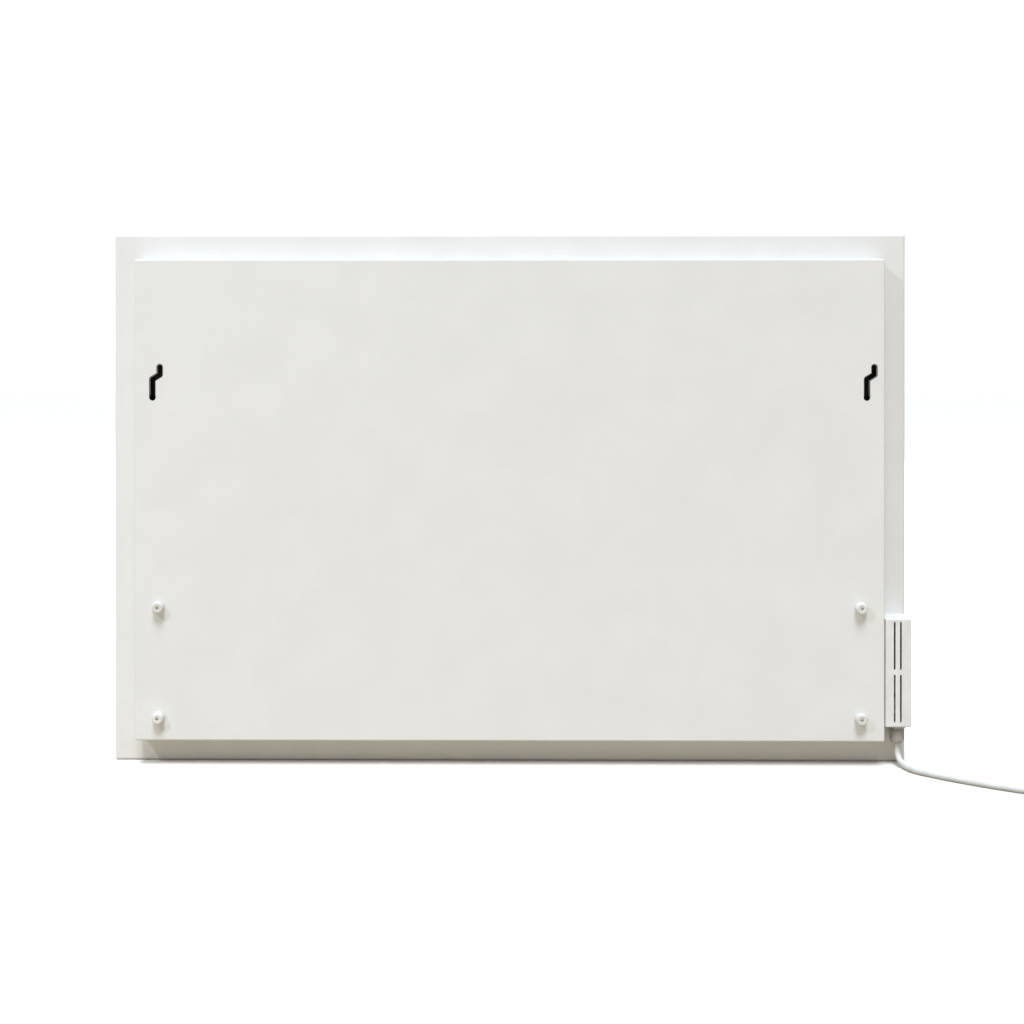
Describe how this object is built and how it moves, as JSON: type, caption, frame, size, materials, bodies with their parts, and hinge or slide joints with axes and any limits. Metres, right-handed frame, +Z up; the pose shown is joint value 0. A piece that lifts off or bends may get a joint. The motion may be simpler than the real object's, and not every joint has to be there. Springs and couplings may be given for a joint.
{
  "type": "infrared panel heater",
  "caption": "Flat wall-hung infrared panel heater seen from its wall side, with hanger slots, wall bumpers, a side control box and a mains lead in a coil.",
  "frame": {"origin": "middle of the heater's underside: the centre of the box round it, without the lead, at the height of the edge it stands on", "axes": "+X to the right in the picture, +Y from the wall side to the warm front, +Z up; the side shown in the picture faces -Y"},
  "size_m": [1.1428, 0.18, 0.6],
  "materials": {
    "panel_enamel": "satin",
    "cover_enamel": "satin",
    "galvanised": "satin",
    "zinc_plate": "satin",
    "screw_steel": "satin",
    "hanger_steel": "satin",
    "pocket_plastic": "matte",
    "film": "matte",
    "copper": "satin",
    "foil": "satin",
    "mineral_wool": "matte",
    "cutout_case": "satin",
    "lead_brown": "satin",
    "lead_blue": "satin",
    "lead_green_yellow": "satin",
    "tinned_tag": "satin",
    "grommet_rubber": "matte",
    "box_plastic": "satin",
    "strip_plastic": "satin",
    "lens_plastic": "gloss",
    "led_resin": "gloss",
    "board_laminate": "satin",
    "switch_black": "satin",
    "relay_black": "satin",
    "capacitor_case": "satin",
    "terminal_nylon": "satin",
    "rocker_bezel": "satin",
    "rocker_paddle": "satin",
    "blade_brass": "satin",
    "gland_nylon": "satin",
    "seal_rubber": "matte",
    "cord_jacket": "satin",
    "core_insulation": "satin",
    "tie_plastic": "satin",
    "plug_plastic": "satin",
    "pin_brass": "polished",
    "bumper_rubber": "matte",
    "button_plastic": "satin",
    "plunger_plastic": "satin"
  },
  "bodies": {
    "heater": {"front_panel": "panel_enamel", "rear_cover": "cover_enamel", "heating_film": "film", "busbars": "copper", "reflector_foil": "foil", "insulation_mat": "mineral_wool", "thermal_cutout": "cutout_case", "rail_rivets": "zinc_plate", "bumper_screws": "screw_steel", "clinch_nuts": "zinc_plate", "lead_live": "lead_brown", "lead_neutral": "lead_blue", "lead_cutout": "lead_brown", "lead_earth": "lead_green_yellow", "earth_tag": "tinned_tag", "earth_nut": "zinc_plate", "cable_grommet": "grommet_rubber", "control_box_housing": "box_plastic", "control_box_base": "box_plastic", "box_screws": "screw_steel", "control_strip": "strip_plastic", "indicator_lens": "lens_plastic", "indicator_leds": "led_resin", "circuit_board": "board_laminate", "button_switches": "switch_black", "relay": "relay_black", "filter_capacitor": "capacitor_case", "terminal_block": "terminal_nylon", "rocker_frame": "rocker_bezel", "rocker_blades": "blade_brass", "gland_body": "gland_nylon", "gland_nut": "gland_nylon", "gland_locknut": "gland_nylon", "gland_seal": "seal_rubber", "cord_entry": "cord_jacket", "cord_cores": "core_insulation", "power_cord": "cord_jacket", "cord_tail": "cord_jacket", "cord_coil": "cord_jacket", "cord_tie": "tie_plastic", "plug_body": "plug_plastic", "plug_pins": "pin_brass", "plug_earth_clips": "pin_brass", "left_rail": "galvanised", "left_hanger_plate": "hanger_steel", "left_hanger_pocket": "pocket_plastic", "right_rail": "galvanised", "right_hanger_plate": "hanger_steel", "right_hanger_pocket": "pocket_plastic", "wall_bumper_lower_left": "bumper_rubber", "wall_bumper_lower_right": "bumper_rubber", "wall_bumper_upper_left": "bumper_rubber", "wall_bumper_upper_right": "bumper_rubber"},
    "rocker": {"power_rocker": "rocker_paddle"},
    "button_up": {"button_up": "button_plastic", "switch_plunger_up": "plunger_plastic"},
    "button_mode": {"button_mode": "button_plastic", "switch_plunger_mode": "plunger_plastic"},
    "button_down": {"button_down": "button_plastic", "switch_plunger_down": "plunger_plastic"}
  },
  "joints": [
    {"name": "rocker_tip", "type": "hinge", "parent": "heater", "child": "rocker", "pos_m": [0.4454, -0.001, 0.1408], "axis": [0, -1, 0], "range_deg": [0, 14]},
    {"name": "button_up_press", "type": "slide", "parent": "heater", "child": "button_up", "axis": [-1, 0, 0], "range_m": [0, 0.0008], "stiffness_N_per_m": 500, "springref_m": -0.0004},
    {"name": "button_mode_press", "type": "slide", "parent": "heater", "child": "button_mode", "axis": [-1, 0, 0], "range_m": [0, 0.0008], "stiffness_N_per_m": 500, "springref_m": -0.0004},
    {"name": "button_down_press", "type": "slide", "parent": "heater", "child": "button_down", "axis": [-1, 0, 0], "range_m": [0, 0.0008], "stiffness_N_per_m": 500, "springref_m": -0.0004}
  ]
}
